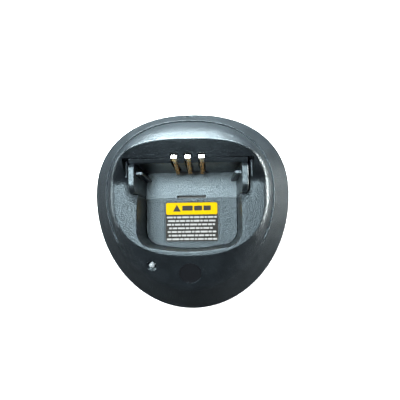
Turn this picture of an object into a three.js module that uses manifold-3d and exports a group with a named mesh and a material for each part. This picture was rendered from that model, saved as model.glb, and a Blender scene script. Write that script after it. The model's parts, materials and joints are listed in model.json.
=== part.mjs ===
// Desktop charging cradle for a hand-held two-way radio.
// Millimetres, +Z up, +Y to the rear, origin on the table under the middle of the cradle.

import * as THREE from "three";
import { mergeVertices } from "three/addons/utils/BufferGeometryUtils.js";
import Module from "manifold-3d";

const wasm = await Module();
wasm.setup();

// ---------------------------------------------------------------- driving dimensions

const OVERALL = 115; // width and depth of the skirt at the table
const FOOT_PROUD = 1; // how far the rubber feet stand out of the base
const WALL = 2.4; // moulded wall of the housing
const GAP = 0.3; // play between neighbouring pieces

// The egg-shaped outlines of the housing. Each has its widest line across Y = widest.
const SKIRT = {
  half: OVERALL / 2, widest: 10, front: -OVERALL / 2, rear: OVERALL / 2, frontPower: 2, rearPower: 2.25,
};
const RIDGE = { half: 43.9, widest: 8, front: -42.5, rear: 45.9, frontPower: 2, rearPower: 2.25 };
const SHOULDER = { half: 39, widest: 6, front: -24.5, rear: 31.3, frontPower: 2.4, rearPower: 2.8 };
const SCOOP_FOOT = { half: 30, widest: 12, front: 3, rear: 22.4, frontPower: 3, rearPower: 5, top: 43.8 };
const RIM_WIDTH = 1.2; // land between the shoulder and the scoop

const SKIRT_TOP = 4; // the skirt stands upright from the table to here, then leans in
const RIDGE_Z = 29;
const GROOVE = 0.6; // width of each flank of the groove along the ridge
const FLANK_SWELL = 0.2; // how far the flank above the ridge swells, per millimetre of rise
const DECK_Z = 37; // level top in front of and beside the pocket
const RIM_Z = 49; // rear rim of the scoop
const RISE = { from: 9, to: 31 }; // the top climbs from the deck to the rim between these Y

const POCKET = { half: 26, front: -22.4, seam: 6.1, rear: 20.9, floor: 10.5, corner: 9, bow: 1.6 };
const FLOOR_THICK = 2;
const EAR = { thick: 2.9, rear: 20.6, top: 44, radius: 5 };
const RIB = { reach: 3.2, thick: 1.7, y: 16.5, top: 39.5 };
const REAR_WALL = { thick: 2.1, top: 43, window: 5 }; // the window lets the curled leaf ends through
const NOTCH = { half: 8.4, depth: 1.4 };

const CONTACT = { pitch: 6.7, width: 2.2, headWidth: 3.2, thick: 0.45, slot: 3.9 };
const HEAD = { y: 23.6, z: 43.4, loop: 1.1 }; // the loop over each leaf's upper end
const BULGE = { y: 20.3, z: 20.8, radius: 1.5 }; // the bend that touches the radio's battery
const CONTACT_NAMES = ["left", "centre", "right"];
const CARRIER = { half: 11, front: 23.4, rear: 28.2, bottom: 27, top: 36 };

const BASE = { bottom: FOOT_PROUD, top: 3.2 };
const BOARD = { bottom: 4.6, top: 6.2 };
const FEET = [[-40, 18], [40, 18], [-22, -40], [22, -40]];
const FOOT_NAMES = ["rear_left", "rear_right", "front_left", "front_right"];
const FOOT = { radius: 5, recess: 1 };
const POSTS = [[-33, 33], [33, 33], [-38, -16], [38, -16]];
const POST = { radius: 3.4, hole: 1.7, bottom: 3.5 };
const SCREW = { shank: 1.35, head: 3, headHeight: 1, tip: 12.6, seat: 1.4, bore: 3.6, clearance: 1.9 };
const BOARD_SCREW = { shank: 1, head: 2.2, headHeight: 1.6, hole: 1.3, boss: 3 };
const BOARD_SCREWS = [[-21, 30], [21, 30], [4, -22]];
const VENTS = { half: 10, first: 10, pitch: 5, width: 2, count: 5 };
const INLET = { half: 4.3, front: 37, shoulder: 47.9, face: 50.6, bottom: BOARD.top + GAP };
const INLET_AXIS = INLET.bottom + INLET.half;
const JACK = { bore: 3, depth: 10, pin: 1.05, flange: 2 };
const RECESS = { radius: 5, floor: 50, wall: 1.8 }; // round well in the skirt that the inlet faces into

const STICKER = { thick: 0.25, glue: 0.1 };
const LABEL = { width: 30, depth: 22.4, y: -7.3, recess: 0.4, margin: 0.4, corner: 1.2 };
const RATING = { width: 44, depth: 24, y: -14, recess: 0.5, margin: 0.5, corner: 1.5 };
const BADGE = { x: 0, y: -33.5, radius: 5.5, thick: 1.2 };
const LIGHT = { x: -19.5, y: -29.6, radius: 1.5, dimple: 3.2, sleeve: 3.3, foot: 15 };

const COIL = { x: -17, y: 40, flange: 6, core: 4.4, flangeHeight: 1.6, height: 8.6 };
const INPUT_CAPACITOR = { x: 9, y: 42, radius: 4, height: 12 };
const OUTPUT_CAPACITOR = { x: 9, y: 33, radius: 3.2, height: 11 };
const TRANSISTOR = { x: 20, y: 36, width: 10, depth: 4.4, height: 9, tab: 1.4, tabHeight: 15 };
const CHIP = { x: -9, y: 31, width: 6, depth: 5, height: 1.6 };
const DIODE = { x: 18, y: 43, width: 4.4, depth: 2.6, height: 2.2 };

const OUT = 60; // past the outside of the cradle, for cuts that run out of it
const EDGE = 0.6; // small chamfers

// ---------------------------------------------------------------- solids

function solid(geometry) {
  const bare = geometry.index ? geometry.toNonIndexed() : geometry.clone();
  bare.deleteAttribute("normal");
  bare.deleteAttribute("uv");
  const merged = mergeVertices(bare, 1e-4);
  return new wasm.Manifold(new wasm.Mesh({
    numProp: 3,
    vertProperties: merged.attributes.position.array,
    triVerts: new Uint32Array(merged.index.array),
  }));
}

function geometryOf(body) {
  const mesh = body.getMesh();
  const geometry = new THREE.BufferGeometry();
  geometry.setAttribute("position", new THREE.BufferAttribute(new Float32Array(mesh.vertProperties), 3));
  geometry.setIndex(new THREE.BufferAttribute(new Uint32Array(mesh.triVerts), 1));
  const faceted = geometry.toNonIndexed();
  faceted.computeVertexNormals();
  return faceted;
}

function block(x, y, z) {
  const geometry = new THREE.BoxGeometry(x[1] - x[0], y[1] - y[0], z[1] - z[0]);
  return solid(geometry.translate((x[0] + x[1]) / 2, (y[0] + y[1]) / 2, (z[0] + z[1]) / 2));
}

function drum(radius, z, x = 0, y = 0, sides = 24) {
  const geometry = new THREE.CylinderGeometry(radius, radius, z[1] - z[0], sides);
  return solid(geometry.rotateX(Math.PI / 2).translate(x, y, (z[0] + z[1]) / 2));
}

// A solid of revolution about the vertical through (x, y), from [radius, height] pairs going up.
function turned(profile, x = 0, y = 0, sides = 24) {
  const points = profile.map(([radius, height]) => new THREE.Vector2(radius, height));
  return solid(new THREE.LatheGeometry(points, sides).rotateX(Math.PI / 2).translate(x, y, 0));
}

function extruded(shape, depth, curveSegments) {
  return new THREE.ExtrudeGeometry(shape, { depth, bevelEnabled: false, curveSegments });
}

function prism(shape, z, curveSegments = 8) {
  return solid(extruded(shape, z[1] - z[0], curveSegments).translate(0, 0, z[0]));
}

// A drum lying along Y, at x = 0.
function lyingDrum(radius, y, z, sides = 24) {
  const geometry = new THREE.CylinderGeometry(radius, radius, y[1] - y[0], sides);
  return solid(geometry.translate(0, (y[0] + y[1]) / 2, z));
}

// A profile drawn in the YZ plane, extruded across X.
function sideProfile(shape, x, curveSegments = 8) {
  const geometry = extruded(shape, x[1] - x[0], curveSegments);
  geometry.applyMatrix4(new THREE.Matrix4().makeBasis(
    new THREE.Vector3(0, 1, 0), new THREE.Vector3(0, 0, 1), new THREE.Vector3(1, 0, 0)));
  return solid(geometry.translate(x[0], 0, 0));
}

function union(bodies) {
  return bodies.reduce((sum, body) => sum.add(body));
}

function roundedRectangle(x0, x1, y0, y1, radius) {
  const shape = new THREE.Shape();
  shape.moveTo(x0 + radius, y0);
  shape.lineTo(x1 - radius, y0);
  shape.absarc(x1 - radius, y0 + radius, radius, -Math.PI / 2, 0);
  shape.lineTo(x1, y1 - radius);
  shape.absarc(x1 - radius, y1 - radius, radius, 0, Math.PI / 2);
  shape.lineTo(x0 + radius, y1);
  shape.absarc(x0 + radius, y1 - radius, radius, Math.PI / 2, Math.PI);
  shape.lineTo(x0, y0 + radius);
  shape.absarc(x0 + radius, y0 + radius, radius, Math.PI, Math.PI * 1.5);
  return shape;
}

// ---------------------------------------------------------------- the egg-shaped shell

// A point of an outline at angle t, moved inwards by inset.
function onOutline(outline, t, inset = 0) {
  const { half, widest, front, rear, frontPower, rearPower } = outline;
  const cos = Math.cos(t);
  const sin = Math.sin(t);
  const power = 2 / (sin > 0 ? rearPower : frontPower);
  const reach = sin > 0 ? rear - widest - inset : widest - front - inset;
  return [
    (half - inset) * Math.sign(cos) * Math.abs(cos) ** power,
    widest + reach * Math.sign(sin) * Math.abs(sin) ** power,
  ];
}

// Height of the top surface: level deck in front, climbing to the rim behind.
function topHeight(y) {
  const t = THREE.MathUtils.clamp((y - RISE.from) / (RISE.to - RISE.from), 0, 1);
  return DECK_Z + (RIM_Z - DECK_Z) * t * t * (3 - 2 * t);
}

// A closed solid through rings, each a function from angle to [x, y, z], bottom ring first.
function lofted(rings, sides) {
  const first = rings[0](0);
  const last = rings[rings.length - 1](0);
  const pole = (height) => () => [0, SHOULDER.widest, height];
  const all = [pole(first[2]), ...rings, pole(last[2])];
  const profile = all.map((ring, k) => new THREE.Vector2(k === 0 || k === all.length - 1 ? 0 : 1, k));
  const geometry = new THREE.LatheGeometry(profile, sides);
  const position = geometry.attributes.position;
  for (let i = 0; i < position.count; i++) {
    const segment = Math.floor(i / all.length) % sides;
    const t = (-2 * Math.PI * segment) / sides;
    position.setXYZ(i, ...all[i % all.length](-t));
  }
  return solid(geometry);
}

function ringAt(outline, inset, z) {
  return (t) => {
    const [x, y] = onOutline(outline, t, inset);
    return [x, y, typeof z === "function" ? z(y) : z];
  };
}

// The ring halfway between ridge and shoulder. It swells a little where the top stands high.
function flankRing(inset, drop) {
  return (t) => {
    const [xa, ya] = onOutline(RIDGE, t, inset);
    const [xb, yb] = onOutline(SHOULDER, t, inset);
    const swell = (topHeight(yb) - DECK_Z) * FLANK_SWELL;
    return [(xa + xb) / 2, (ya + yb) / 2, (RIDGE_Z + topHeight(yb)) / 2 + swell - drop];
  };
}

// A ring of the shoulder's outline shrunk towards its middle, on the top surface.
function capRing(scale, drop) {
  return (t) => {
    const [x, y] = onOutline(SHOULDER, t);
    const inner = SHOULDER.widest + (y - SHOULDER.widest) * scale;
    return [x * scale, inner, topHeight(inner) - drop];
  };
}

function domeOutside() {
  const rings = [
    ringAt(SKIRT, EDGE, BASE.bottom),
    ringAt(SKIRT, 0, BASE.bottom + EDGE),
    ringAt(SKIRT, 0, SKIRT_TOP),
    ringAt(RIDGE, 0, RIDGE_Z),
    ringAt(RIDGE, GROOVE, RIDGE_Z - GROOVE),
    ringAt(RIDGE, 2 * GROOVE, RIDGE_Z + GROOVE),
    flankRing(0, 0),
    ringAt(SHOULDER, 0.8, (y) => topHeight(y) - 0.3),
    capRing(0.92, 0),
    capRing(0.5, 0),
  ];
  return lofted(rings, 72);
}

function domeInside() {
  const rings = [
    ringAt(SKIRT, WALL, -1),
    ringAt(SKIRT, WALL, SKIRT_TOP),
    ringAt(RIDGE, WALL, RIDGE_Z - WALL / 2),
    flankRing(WALL, WALL),
    ringAt(SHOULDER, WALL, (y) => topHeight(y) - WALL),
    capRing(0.5, WALL),
  ];
  return lofted(rings, 48);
}

// The scoop behind and beside the pocket, grown outwards by wall.
function scoop(wall) {
  const { front, rear, top } = SCOOP_FOOT;
  const footHeight = (y) => THREE.MathUtils.mapLinear(y, front, rear, DECK_Z, top) - wall;
  const rim = { ...SHOULDER, front: 1, rearPower: 3 };
  const rings = [
    ringAt(SCOOP_FOOT, -wall, 20),
    ringAt(SCOOP_FOOT, -wall, footHeight),
    ringAt(rim, RIM_WIDTH - wall, (y) => topHeight(y) + 0.2),
    ringAt(rim, RIM_WIDTH - wall, OUT),
  ];
  return lofted(rings, 56);
}

// The pocket as a prism from the floor up, grown outwards by wall. Its rear corners are square.
function pocketShape(wall, rear) {
  const { half, front, corner, bow } = POCKET;
  const side = half + wall;
  const radius = corner + wall;
  const edge = front - wall + bow;
  const shape = new THREE.Shape();
  shape.moveTo(-side, rear);
  shape.lineTo(-side, edge + radius);
  shape.absarc(radius - side, edge + radius, radius, Math.PI, Math.PI * 1.5);
  shape.quadraticCurveTo(0, edge - 2 * bow, side - radius, edge);
  shape.absarc(side - radius, edge + radius, radius, -Math.PI / 2, 0);
  shape.lineTo(side, rear);
  return shape;
}

function topHousing() {
  const outside = domeOutside();
  const wellHalf = POCKET.half + EAR.thick + GAP;
  const wellRear = POCKET.rear + REAR_WALL.thick + GAP;
  const wellBottom = POCKET.floor - FLOOR_THICK;
  const tub = prism(pocketShape(WALL, POCKET.seam), [wellBottom, OUT]);
  const wellWall = block(
    [-wellHalf - WALL, wellHalf + WALL], [POCKET.seam - WALL, wellRear + WALL], [wellBottom, OUT]);
  const sleeveHalf = RECESS.radius + RECESS.wall;
  const sleeve = block(
    [-sleeveHalf, sleeveHalf], [RECESS.floor - RECESS.wall, OUT],
    [INLET_AXIS - sleeveHalf, INLET_AXIS + sleeveHalf]);
  const posts = union(POSTS.map(([x, y]) => drum(POST.radius, [POST.bottom, 40], x, y, 20)));
  const lightSleeve = drum(LIGHT.sleeve, [20, 40], LIGHT.x, LIGHT.y, 20);
  const inner = union([tub, wellWall, scoop(WALL), sleeve, posts, lightSleeve]).intersect(outside);
  const hollow = union([
    prism(pocketShape(0, POCKET.seam + 1), [POCKET.floor, OUT]),
    block([-wellHalf, wellHalf], [POCKET.seam, wellRear], [0, OUT]),
    block([-CARRIER.half - GAP, CARRIER.half + GAP], [wellRear - 1, 30], [0, 40]),
    scoop(0),
    lyingDrum(RECESS.radius, [RECESS.floor, OUT], INLET_AXIS),
    lyingDrum(INLET.half + GAP, [RECESS.floor - 2 * RECESS.wall, OUT], INLET_AXIS),
    labelRecess(),
    ...POSTS.map(([x, y]) => drum(POST.hole, [0, 14], x, y, 16)),
    ...contactSlots(),
    ontoSlope(drum(BADGE.radius + GAP / 2, [-BADGE.thick, 8], 0, 0, 32), BADGE),
    drum(LIGHT.radius + GAP, [0, OUT], LIGHT.x, LIGHT.y, 20),
    dimple(),
  ]);
  return outside.subtract(domeInside()).add(inner).subtract(hollow);
}

// The shallow recess in the pocket's floor that the label lies in.
function labelRecess() {
  const { width, depth, y, margin, recess } = LABEL;
  const halfWidth = width / 2 + margin;
  const halfDepth = depth / 2 + margin;
  const heights = [POCKET.floor - recess, POCKET.floor + 1];
  return block([-halfWidth, halfWidth], [y - halfDepth, y + halfDepth], heights);
}

function contactXs() {
  return CONTACT_NAMES.map((_, i) => (i - 1) * CONTACT.pitch);
}

// The slots above the pocket's rear wall that the contact heads stand in.
function contactSlots() {
  const half = CONTACT.slot / 2;
  return contactXs().map((x) => block([x - half, x + half], [POCKET.rear, 26.4], [36, OUT]));
}

// ---------------------------------------------------------------- front slope

// Where an outline's front half crosses the line at x.
function frontEdge({ half, widest, front, frontPower }, x) {
  return widest - (widest - front) * (1 - Math.abs(x / half) ** frontPower) ** (1 / frontPower);
}

// The front slope's height and lean at a place on it, taken straight from shoulder to ridge.
function slopeAt({ x, y }) {
  const rise = DECK_Z - RIDGE_Z;
  const ridge = frontEdge(RIDGE, x);
  const run = frontEdge(SHOULDER, x) - ridge;
  return { z: RIDGE_Z + (rise * (y - ridge)) / run, lean: Math.atan2(rise, run) };
}

// Puts a body made on the origin, axis up, onto the front slope, facing out of it.
function ontoSlope(body, place) {
  const { z, lean } = slopeAt(place);
  return body.rotate([THREE.MathUtils.radToDeg(lean), 0, 0]).translate([place.x, place.y, z]);
}

function dimple() {
  const mouth = LIGHT.dimple + 1;
  const profile = [[0, -2], [LIGHT.radius, -1.6], [mouth, 0.9], [mouth, 6], [0, 6]];
  return ontoSlope(turned(profile), LIGHT);
}

function badgeDisc() {
  const { radius, thick } = BADGE;
  const rim = radius - GAP / 2;
  const profile = [[0, GAP - thick], [rim, GAP - thick], [rim, -0.3], [rim - 0.3, 0], [0, 0]];
  return ontoSlope(turned(profile, 0, 0, 32), BADGE);
}

function lightPipe() {
  const { x, y, radius, foot } = LIGHT;
  const top = slopeAt(LIGHT).z - 1;
  const flange = radius + 0.8;
  const profile = [[0, foot], [flange, foot], [flange, foot + 1.5], [radius, foot + 1.5]];
  profile.push([radius, top], [radius * 0.7, top + 0.9], [0, top + 1.2]);
  return turned(profile, x, y);
}

function indicatorLed() {
  const { x, y, radius, foot } = LIGHT;
  const bottom = BOARD.top + GAP;
  const profile = [[0, bottom], [1.9, bottom], [1.9, bottom + 1.2], [radius, bottom + 1.2]];
  profile.push([radius, foot - 2], [0.9, foot - 0.7], [0, foot - 0.4]);
  return turned(profile, x, y);
}

// ---------------------------------------------------------------- pocket insert and contacts

function earProfile() {
  const { rear, top, radius } = EAR;
  const front = POCKET.seam + GAP;
  const shape = new THREE.Shape();
  shape.moveTo(rear + 1.5, POCKET.floor - FLOOR_THICK);
  shape.lineTo(rear + 1.5, REAR_WALL.top - 2);
  shape.lineTo(rear, top - 1.5);
  shape.quadraticCurveTo(rear - 0.4, top, rear - 2.5, top);
  shape.lineTo(front + radius, top);
  shape.absarc(front + radius, top - radius, radius, Math.PI / 2, Math.PI);
  shape.lineTo(front, POCKET.floor - FLOOR_THICK);
  return shape;
}

function pocketInsert() {
  const { half, rear, seam, floor } = POCKET;
  const bottom = floor - FLOOR_THICK;
  const outer = half + EAR.thick;
  const back = rear + REAR_WALL.thick;
  const pieces = [
    block([-outer, outer], [seam + GAP, back], [bottom, floor]),
    block([-outer, outer], [rear, back], [bottom, REAR_WALL.top]),
  ];
  for (const side of [-1, 1]) {
    const ear = [side * half, side * outer].sort((a, b) => a - b);
    const rib = [side * (half - RIB.reach), side * (half + 1)].sort((a, b) => a - b);
    pieces.push(sideProfile(earProfile(), ear));
    pieces.push(block(rib, [RIB.y - RIB.thick / 2, RIB.y + RIB.thick / 2], [bottom, RIB.top]));
  }
  const slots = contactXs().map((x) =>
    block([x - CONTACT.slot / 2, x + CONTACT.slot / 2], [rear - 1, back + 1], [floor + 4, OUT]));
  const windowHalf = CONTACT.pitch + CONTACT.slot / 2;
  const cuts = union([
    ...slots,
    block([-windowHalf, windowHalf], [rear - 1.2, rear + 1], [bottom - 1, floor + REAR_WALL.window]),
    block([-NOTCH.half, NOTCH.half], [seam - 1, seam + GAP + NOTCH.depth], [bottom - 1, floor + 1]),
  ]);
  return union(pieces).subtract(cuts);
}

// A strip of even thickness along a line of [y, z] points, as a closed outline.
function stripOutline(points, thick) {
  const line = points.map(([y, z]) => new THREE.Vector2(y, z));
  const sides = [[], []];
  line.forEach((point, i) => {
    const before = line[Math.max(i - 1, 0)];
    const after = line[Math.min(i + 1, line.length - 1)];
    const along = after.clone().sub(before).normalize();
    const across = new THREE.Vector2(-along.y, along.x).multiplyScalar(thick / 2);
    sides[0].push(point.clone().add(across));
    sides[1].unshift(point.clone().sub(across));
  });
  return new THREE.Shape([...sides[0], ...sides[1]]);
}

// The loop over a leaf's head, from behind the wall to the front of it.
function headLine() {
  const line = [[HEAD.y + HEAD.loop, HEAD.z - 1.6]];
  for (let i = 0; i <= 6; i++) {
    const angle = (Math.PI * i) / 6;
    line.push([HEAD.y + HEAD.loop * Math.cos(angle), HEAD.z + HEAD.loop * Math.sin(angle)]);
  }
  return line;
}

// Below its head the leaf leans out of the wall to the bulge, and curls back in.
function leafLine() {
  const line = [...headLine(), [21.1, 32]];
  for (let i = 0; i <= 5; i++) {
    const angle = Math.PI * (0.98 + (0.55 * i) / 5);
    line.push([BULGE.y + BULGE.radius * Math.cos(angle), BULGE.z + BULGE.radius * Math.sin(angle)]);
  }
  return [...line, [22.6, 18.9]];
}

function contactLeaf(x) {
  const half = CONTACT.width / 2;
  const headHalf = CONTACT.headWidth / 2;
  const strip = sideProfile(stripOutline(leafLine(), CONTACT.thick), [x - half, x + half]);
  const head = sideProfile(stripOutline(headLine(), CONTACT.thick), [x - headHalf, x + headHalf]);
  return strip.add(head);
}

function contactTerminal(x) {
  const half = CONTACT.width / 2;
  const line = [[25.9, 41.4], [26, 37], [26, 25], [27, 22], [27, BOARD.top + GAP]];
  return sideProfile(stripOutline(line, CONTACT.thick), [x - half, x + half]);
}

function contactCarrier() {
  const { half, front, rear, bottom, top } = CARRIER;
  const body = block([-half, half], [front, rear], [bottom, top]);
  const grooves = contactXs().map((x) =>
    block([x - CONTACT.width / 2 - GAP, x + CONTACT.width / 2 + GAP], [25.4, 26.6], [bottom - 1, top + 1]));
  return body.subtract(union(grooves));
}

// ---------------------------------------------------------------- base

function basePlate() {
  const outline = (z) => ringAt(SKIRT, WALL + GAP, z);
  const plate = lofted([outline(BASE.bottom), outline(BASE.top)], 56);
  const bosses = BOARD_SCREWS.map(([x, y]) =>
    drum(BOARD_SCREW.boss, [BASE.top - 0.5, BOARD.bottom - GAP], x, y, 16));
  const feet = FEET.map(([x, y]) => drum(FOOT.radius + GAP, [0, BASE.bottom + FOOT.recess], x, y, 24));
  const screws = POSTS.flatMap(([x, y]) => [
    drum(SCREW.clearance, [0, 6], x, y, 16),
    drum(SCREW.bore, [0, BASE.bottom + SCREW.seat], x, y, 20),
  ]);
  const boardHoles = BOARD_SCREWS.map(([x, y]) =>
    drum(BOARD_SCREW.hole, [BASE.bottom + 0.8, 6], x, y, 12));
  const halfWidth = RATING.width / 2 + RATING.margin;
  const halfDepth = RATING.depth / 2 + RATING.margin;
  const label = block(
    [-halfWidth, halfWidth], [RATING.y - halfDepth, RATING.y + halfDepth], [0, BASE.bottom + RATING.recess]);
  return union([plate, ...bosses]).subtract(union([...feet, ...screws, ...boardHoles, ...vents(), label]));
}

function vents() {
  const { half, first, pitch, width, count } = VENTS;
  return Array.from({ length: count }, (_, i) => {
    const front = first + pitch * i;
    return block([-half, half], [front, front + width], [0, 6]);
  });
}

function rubberFoot([x, y]) {
  const { radius } = FOOT;
  const top = FOOT_PROUD + FOOT.recess - GAP;
  return turned([[0, 0], [radius - EDGE, 0], [radius, EDGE], [radius, top], [0, top]], x, y);
}

function housingScrew([x, y]) {
  const { shank, head, headHeight, tip, seat } = SCREW;
  const top = BASE.bottom + seat - GAP;
  const face = top - headHeight;
  const profile = [[0, face + 0.6], [0.8, face], [head - 0.4, face], [head, face + 0.5], [head, top]];
  profile.push([shank, top], [shank, tip - EDGE], [0, tip]);
  return turned(profile, x, y);
}

function boardScrew([x, y]) {
  const { shank, head, headHeight } = BOARD_SCREW;
  const tip = BASE.bottom + 1.2;
  const seat = BOARD.top + GAP;
  const top = seat + headHeight;
  const profile = [[0, tip], [shank, tip], [shank, seat], [head, seat], [head, top - 0.7], [head - 0.8, top]];
  return turned([...profile, [0, top]], x, y, 16);
}

function sticker({ width, depth, y, corner }, bottom) {
  const shape = roundedRectangle(-width / 2, width / 2, y - depth / 2, y + depth / 2, corner);
  return prism(shape, [bottom, bottom + STICKER.thick], 3);
}

// ---------------------------------------------------------------- electronics

function circuitBoard() {
  const z = [BOARD.bottom, BOARD.top];
  const rear = block([-26, 26], [26, 47.5], z);
  const tongue = block([-25, 10], [-36, 27], z);
  const holes = BOARD_SCREWS.map(([x, y]) => drum(BOARD_SCREW.hole, [0, 10], x, y, 12));
  return union([rear, tongue]).subtract(union(holes));
}

// A barrel jack: square body, and a round nose that reaches into the recess.
function dcInletBody() {
  const { half, front, shoulder, face, bottom } = INLET;
  const body = block([-half, half], [front, shoulder], [bottom, bottom + 2 * half]);
  const nose = lyingDrum(half, [shoulder - 1, face], INLET_AXIS);
  return body.add(nose).subtract(lyingDrum(JACK.bore, [face - JACK.depth, face + 1], INLET_AXIS));
}

function dcInletPin() {
  const { pin, flange, depth } = JACK;
  const profile = [[0, 0], [flange, 0], [flange, 0.8], [pin, 0.8], [pin, depth - 2]];
  profile.push([pin * 0.6, depth - 1.4], [0, depth - 1.2]);
  const points = profile.map(([radius, height]) => new THREE.Vector2(radius, height));
  const seat = INLET.face - depth + GAP;
  return solid(new THREE.LatheGeometry(points, 20).translate(0, seat, INLET_AXIS));
}

function chokeCoil() {
  const { x, y, flange, core, flangeHeight, height } = COIL;
  const z = BOARD.top + GAP;
  const lower = z + flangeHeight;
  const upper = z + height - flangeHeight;
  const profile = [[0, z], [flange, z], [flange, lower], [core, lower], [core, upper], [flange, upper]];
  return turned([...profile, [flange, z + height], [0, z + height]], x, y);
}

function capacitor({ x, y, radius, height }) {
  const z = BOARD.top + GAP;
  const top = z + height;
  const profile = [[0, z], [radius, z], [radius, z + 1], [radius - 0.3, z + 1.4], [radius, z + 1.8]];
  return turned([...profile, [radius, top - 0.4], [radius - 0.4, top], [0, top]], x, y);
}

function onBoard({ x, y, width, depth, height }) {
  const z = BOARD.top + GAP;
  return block([x - width / 2, x + width / 2], [y - depth / 2, y + depth / 2], [z, z + height]);
}

// A power transistor: moulded case with a thinner metal tab above it.
function chargeTransistor() {
  const { y, depth, tab, tabHeight } = TRANSISTOR;
  const tabY = y + depth / 2 - tab / 2;
  return onBoard(TRANSISTOR).add(onBoard({ ...TRANSISTOR, y: tabY, depth: tab, height: tabHeight }));
}

// ---------------------------------------------------------------- materials and assembly

function paint(color, roughness, metalness) {
  return () => new THREE.MeshStandardMaterial({ color, roughness, metalness });
}

const blackPlastic = paint(0x23272c, 0.6, 0);
const darkPlastic = paint(0x1b1e22, 0.45, 0);
const plating = paint(0xd9b46a, 0.25, 1);
const steel = paint(0x9a9da1, 0.35, 1);
const rubber = paint(0x17181a, 0.9, 0);
const boardGreen = paint(0x1f5a3a, 0.6, 0);
const component = paint(0x2a2a2c, 0.5, 0);
const clearLens = paint(0xc9ced2, 0.15, 0);
const labelYellow = paint(0xf0b400, 0.5, 0);
const labelSilver = paint(0xb8bbbe, 0.4, 0.2);

const cradle = new THREE.Group();

function place(name, body, material, group = cradle) {
  const mesh = new THREE.Mesh(geometryOf(body), material());
  mesh.name = name;
  group.add(mesh);
  return mesh;
}

place("top_housing", topHousing(), blackPlastic);
place("pocket_insert", pocketInsert(), blackPlastic);
place("base_plate", basePlate(), blackPlastic);
place("pocket_label", sticker(LABEL, POCKET.floor - LABEL.recess + STICKER.glue), labelYellow);
place("blank_badge_disc", badgeDisc(), darkPlastic);
place("led_light_pipe", lightPipe(), clearLens);

const contacts = new THREE.Group();
cradle.add(contacts);
contactXs().forEach((x, i) => {
  place(`contact_leaf_${CONTACT_NAMES[i]}`, contactLeaf(x), plating, contacts);
  place(`contact_terminal_${CONTACT_NAMES[i]}`, contactTerminal(x), plating, contacts);
});
place("contact_carrier", contactCarrier(), component, contacts);

const underside = new THREE.Group();
cradle.add(underside);
FEET.forEach((spot, i) => place(`rubber_foot_${FOOT_NAMES[i]}`, rubberFoot(spot), rubber, underside));
POSTS.forEach((spot, i) => place(`housing_screw_${FOOT_NAMES[i]}`, housingScrew(spot), steel, underside));
const ratingBottom = BASE.bottom + RATING.recess - STICKER.glue - STICKER.thick;
place("rating_label", sticker(RATING, ratingBottom), labelSilver, underside);

const electronics = new THREE.Group();
cradle.add(electronics);
place("circuit_board", circuitBoard(), boardGreen, electronics);
BOARD_SCREWS.forEach((spot, i) => place(`board_screw_${i + 1}`, boardScrew(spot), steel, electronics));
place("dc_inlet_body", dcInletBody(), component, electronics);
place("dc_inlet_pin", dcInletPin(), steel, electronics);
place("indicator_led", indicatorLed(), clearLens, electronics);
place("choke_coil", chokeCoil(), component, electronics);
place("input_capacitor", capacitor(INPUT_CAPACITOR), component, electronics);
place("output_capacitor", capacitor(OUTPUT_CAPACITOR), component, electronics);
place("charge_transistor", chargeTransistor(), component, electronics);
place("controller_chip", onBoard(CHIP), component, electronics);
place("blocking_diode", onBoard(DIODE), component, electronics);

export default cradle;
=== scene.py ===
"""Looks of a desktop charging cradle for a two-way radio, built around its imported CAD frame."""

import bpy
import bmesh
import json
import math
from mathutils import Matrix, Vector
from mathutils.bvhtree import BVHTree


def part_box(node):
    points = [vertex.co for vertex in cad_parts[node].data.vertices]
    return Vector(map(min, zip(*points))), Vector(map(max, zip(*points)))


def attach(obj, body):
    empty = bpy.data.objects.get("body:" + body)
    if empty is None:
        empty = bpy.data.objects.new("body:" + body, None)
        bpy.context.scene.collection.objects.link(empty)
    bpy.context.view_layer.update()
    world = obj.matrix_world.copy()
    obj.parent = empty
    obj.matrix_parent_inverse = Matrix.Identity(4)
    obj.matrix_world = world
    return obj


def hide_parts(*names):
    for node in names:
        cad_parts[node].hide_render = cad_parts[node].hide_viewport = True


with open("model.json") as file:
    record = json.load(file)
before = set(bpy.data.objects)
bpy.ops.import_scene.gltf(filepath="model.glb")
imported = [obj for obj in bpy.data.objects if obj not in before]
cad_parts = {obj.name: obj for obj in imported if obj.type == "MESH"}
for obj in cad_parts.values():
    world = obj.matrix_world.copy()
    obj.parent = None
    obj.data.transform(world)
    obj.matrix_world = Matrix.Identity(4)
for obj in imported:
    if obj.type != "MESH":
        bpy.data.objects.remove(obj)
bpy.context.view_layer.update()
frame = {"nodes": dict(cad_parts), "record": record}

# ------------------------------------------------------------------ dimensions
# Millimetres in the CAD's frame: +Z up, +Y to the rear. Meshes are scaled to metres as they are made.

MM = 0.001


def node_box(node):
    """The lower and upper corner of a CAD node, in millimetres."""
    low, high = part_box(node)
    return [v / MM for v in low], [v / MM for v in high]


HOUSING_LOW, HOUSING_HIGH = node_box("top_housing")
INSERT_HIGH = node_box("pocket_insert")[1]
PLATE_LOW, PLATE_HIGH = node_box("base_plate")
LABEL_LOW, LABEL_HIGH = node_box("pocket_label")
RATING_LOW, RATING_HIGH = node_box("rating_label")
INLET_LOW, INLET_HIGH = node_box("dc_inlet_body")

SKIRT = dict(half=HOUSING_HIGH[0], widest=10, front=HOUSING_LOW[1], rear=HOUSING_HIGH[1],
             front_power=2, rear_power=2.25)
RIDGE = dict(half=43.9, widest=8, front=-42.5, rear=45.9, front_power=2, rear_power=2.25)
SHOULDER = dict(half=39, widest=6, front=-24.5, rear=31.3, front_power=2.4, rear_power=2.8)
SCOOP_FOOT = dict(half=29.3, widest=6, front=-23.4, rear=21.0, front_power=3.2, rear_power=7)

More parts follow.
